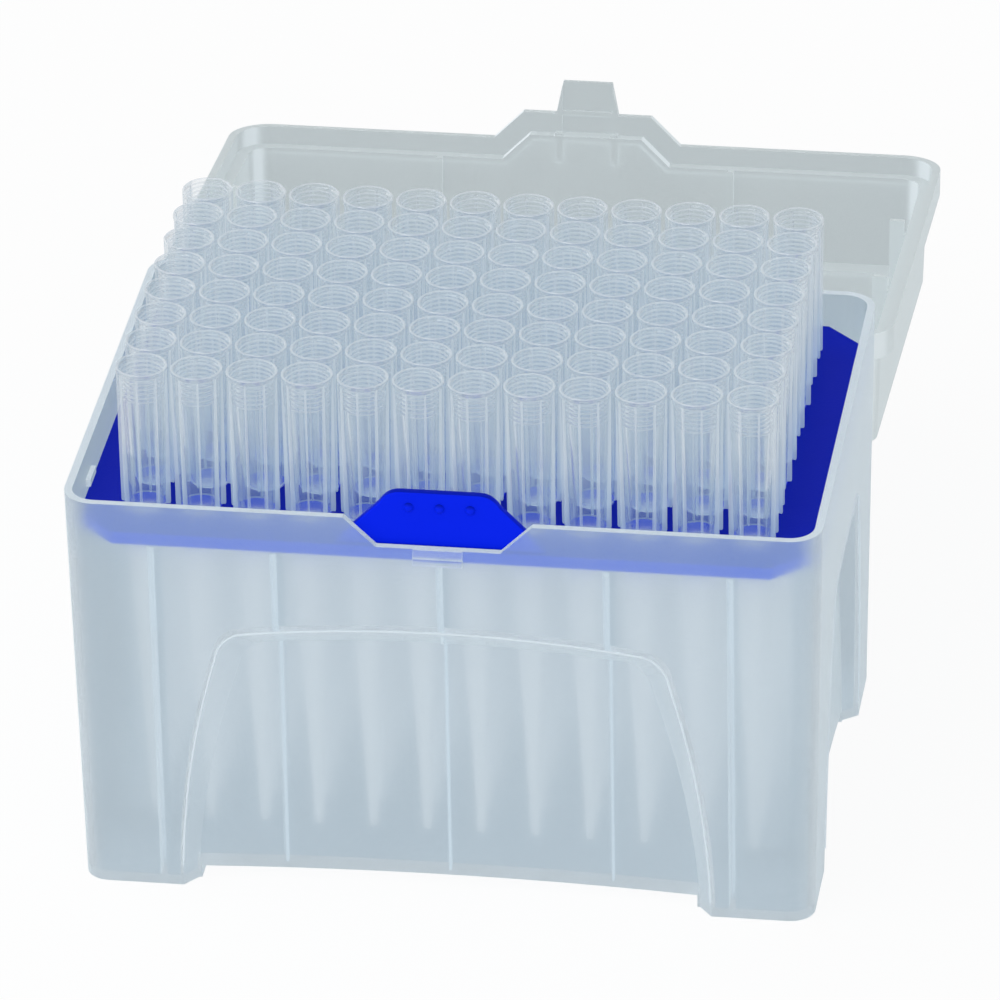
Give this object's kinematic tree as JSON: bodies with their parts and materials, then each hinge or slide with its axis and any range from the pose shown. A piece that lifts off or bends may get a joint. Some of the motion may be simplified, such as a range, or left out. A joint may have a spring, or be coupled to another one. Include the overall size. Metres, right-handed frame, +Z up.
{
  "type": "box of pipette tips",
  "caption": "Hinged plastic rack box on corner feet, with a grid of upright pipette tips in a perforated deck, a grip tab in its front notch and a latching lid standing open.",
  "frame": {"origin": "middle of the footprint, on the plane that the four feet stand on", "axes": "+X along the rows of twelve tips, +Y from the catch to the hinges, +Z up"},
  "size_m": [0.1268, 0.1805, 0.0906],
  "materials": {
    "frosted_shell": "frosted translucent polypropylene",
    "frosted_lid": "frosted translucent polypropylene",
    "blue_deck": "moulded, slightly glossy",
    "clear_tip": "clear polypropylene"
  },
  "bodies": {
    "box": {"base": "frosted_shell", "deck_plate": "blue_deck", "tips_column_01": "clear_tip", "tips_column_02": "clear_tip", "tips_column_03": "clear_tip", "tips_column_04": "clear_tip", "tips_column_05": "clear_tip", "tips_column_06": "clear_tip", "tips_column_07": "clear_tip", "tips_column_08": "clear_tip", "tips_column_09": "clear_tip", "tips_column_10": "clear_tip", "tips_column_11": "clear_tip", "tips_column_12": "clear_tip"},
    "lid": {"lid": "frosted_lid"}
  },
  "joints": [
    {"name": "lid_hinge", "type": "hinge", "parent": "box", "child": "lid", "pos_m": [0, 0.0452, 0.0651], "axis": [1, 0, 0], "range_deg": [0, 187]}
  ]
}
